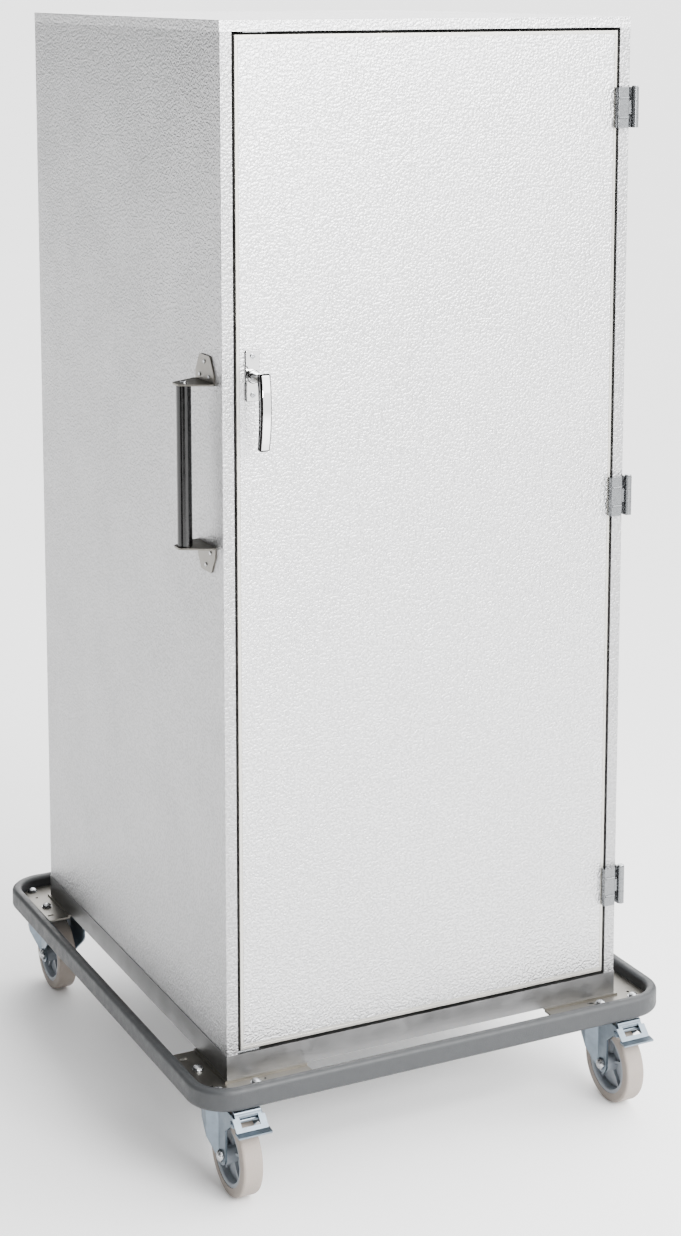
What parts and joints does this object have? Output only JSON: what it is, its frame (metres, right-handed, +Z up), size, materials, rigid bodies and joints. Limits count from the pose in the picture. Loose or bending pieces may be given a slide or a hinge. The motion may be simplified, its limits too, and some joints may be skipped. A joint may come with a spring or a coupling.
{
  "type": "housekeeping cart",
  "caption": "Tall closed housekeeping cart: embossed metal cabinet with a hinged lockable door, push handle, shelves, bumper ring, swivel and fixed castors.",
  "frame": {"origin": "on the floor below the middle of the whole cart's outline", "axes": "+Z up, +Y from the door towards the back, +X towards the hinge side"},
  "size_m": [0.808, 0.935, 1.72],
  "materials": {
    "stucco_aluminium": "satin, stucco embossed sheet",
    "smooth_aluminium": "satin",
    "stainless_sheet": "brushed",
    "chromed_zinc": "polished",
    "plated_steel": "bright zinc",
    "zinc_pressing": "bluish bright zinc",
    "wheel_plastic": "matte",
    "grey_rubber": "matte",
    "bumper_rubber": "matte",
    "seal_rubber": "matte",
    "black_plastic": "gloss"
  },
  "bodies": {
    "cabinet": {"side_panel_left": "stucco_aluminium", "side_panel_right": "stucco_aluminium", "back_panel": "stucco_aluminium", "roof_panel": "stucco_aluminium", "liner_left": "smooth_aluminium", "liner_right": "smooth_aluminium", "liner_back": "smooth_aluminium", "liner_roof": "smooth_aluminium", "shelf_uprights": "smooth_aluminium", "shelf_1": "smooth_aluminium", "shelf_2": "smooth_aluminium", "shelf_3": "smooth_aluminium", "floor_panel": "smooth_aluminium", "base_plinth": "stainless_sheet", "corner_plate_front_left": "stainless_sheet", "corner_plate_front_right": "stainless_sheet", "corner_plate_rear_left": "stainless_sheet", "corner_plate_rear_right": "stainless_sheet", "handle_bracket_upper": "stainless_sheet", "handle_bracket_lower": "stainless_sheet", "door_frame": "stainless_sheet", "shelf_clips": "stainless_sheet", "hinge_leaves_body": "plated_steel", "hinge_pins": "plated_steel", "hinge_screws": "plated_steel", "lock_keepers": "plated_steel", "handle_fasteners": "plated_steel", "bumper_screws": "plated_steel", "castor_bolts": "plated_steel", "axles_rear": "plated_steel", "castor_plate_front_left": "zinc_pressing", "castor_plate_front_right": "zinc_pressing", "castor_fork_rear_left": "zinc_pressing", "castor_fork_rear_right": "zinc_pressing", "bumper_ring": "bumper_rubber", "door_seal": "seal_rubber", "handle_grip": "black_plastic"},
    "door": {"door_skin": "stucco_aluminium", "door_liner": "smooth_aluminium", "hinge_leaves_door": "plated_steel", "lock_plate": "chromed_zinc", "lock_plate_screws": "plated_steel", "lock_case": "stainless_sheet"},
    "lever": {"door_lever": "chromed_zinc"},
    "rod_upper": {"lock_rod_upper": "plated_steel"},
    "rod_lower": {"lock_rod_lower": "plated_steel"},
    "castor_left": {"castor_fork_front_left": "zinc_pressing", "axle_front_left": "plated_steel"},
    "pedal_left": {"brake_pedal_front_left": "zinc_pressing"},
    "castor_right": {"castor_fork_front_right": "zinc_pressing", "axle_front_right": "plated_steel"},
    "pedal_right": {"brake_pedal_front_right": "zinc_pressing"},
    "wheel_front_left": {"wheel_rim_front_left": "wheel_plastic", "tyre_front_left": "grey_rubber"},
    "wheel_front_right": {"wheel_rim_front_right": "wheel_plastic", "tyre_front_right": "grey_rubber"},
    "wheel_rear_left": {"wheel_rim_rear_left": "wheel_plastic", "tyre_rear_left": "grey_rubber"},
    "wheel_rear_right": {"wheel_rim_rear_right": "wheel_plastic", "tyre_rear_right": "grey_rubber"}
  },
  "joints": [
    {"name": "door_hinge", "type": "hinge", "parent": "cabinet", "child": "door", "pos_m": [0.343, -0.3855, 0.954], "axis": [0, 0, 1], "range_deg": [0, 255]},
    {"name": "lever_turn", "type": "hinge", "parent": "door", "child": "lever", "pos_m": [-0.2905, -0.3825, 1.219], "axis": [0, -1, 0], "range_deg": [0, 90]},
    {"name": "rod_upper_slide", "type": "slide", "parent": "door", "child": "rod_upper", "axis": [0, 0, 1], "range_m": [0, 0.0158]},
    {"name": "rod_lower_slide", "type": "slide", "parent": "door", "child": "rod_lower", "axis": [0, 0, -1], "range_m": [0, 0.0158]},
    {"name": "castor_swivel_left", "type": "hinge", "parent": "cabinet", "child": "castor_left", "pos_m": [-0.33, -0.3625, 0.141], "axis": [0, 0, 1], "continuous": true},
    {"name": "brake_pedal_left", "type": "hinge", "parent": "castor_left", "child": "pedal_left", "pos_m": [-0.33, -0.4335, 0.13], "axis": [1, 0, 0], "range_deg": [0, 10]},
    {"name": "wheel_spin_front_left", "type": "hinge", "parent": "castor_left", "child": "wheel_front_left", "pos_m": [-0.33, -0.3975, 0.0625], "axis": [1, 0, 0], "continuous": true},
    {"name": "wheel_spin_rear_left", "type": "hinge", "parent": "cabinet", "child": "wheel_rear_left", "pos_m": [-0.33, 0.3965, 0.0625], "axis": [1, 0, 0], "continuous": true},
    {"name": "castor_swivel_right", "type": "hinge", "parent": "cabinet", "child": "castor_right", "pos_m": [0.33, -0.3625, 0.141], "axis": [0, 0, 1], "continuous": true},
    {"name": "brake_pedal_right", "type": "hinge", "parent": "castor_right", "child": "pedal_right", "pos_m": [0.33, -0.4335, 0.13], "axis": [1, 0, 0], "range_deg": [0, 10]},
    {"name": "wheel_spin_front_right", "type": "hinge", "parent": "castor_right", "child": "wheel_front_right", "pos_m": [0.33, -0.3975, 0.0625], "axis": [1, 0, 0], "continuous": true},
    {"name": "wheel_spin_rear_right", "type": "hinge", "parent": "cabinet", "child": "wheel_rear_right", "pos_m": [0.33, 0.3965, 0.0625], "axis": [1, 0, 0], "continuous": true}
  ],
  "couplings": [
    {"joint": "rod_upper_slide", "follows": "lever_turn", "m_per_rad": 0.01},
    {"joint": "rod_lower_slide", "follows": "lever_turn", "m_per_rad": 0.01}
  ]
}
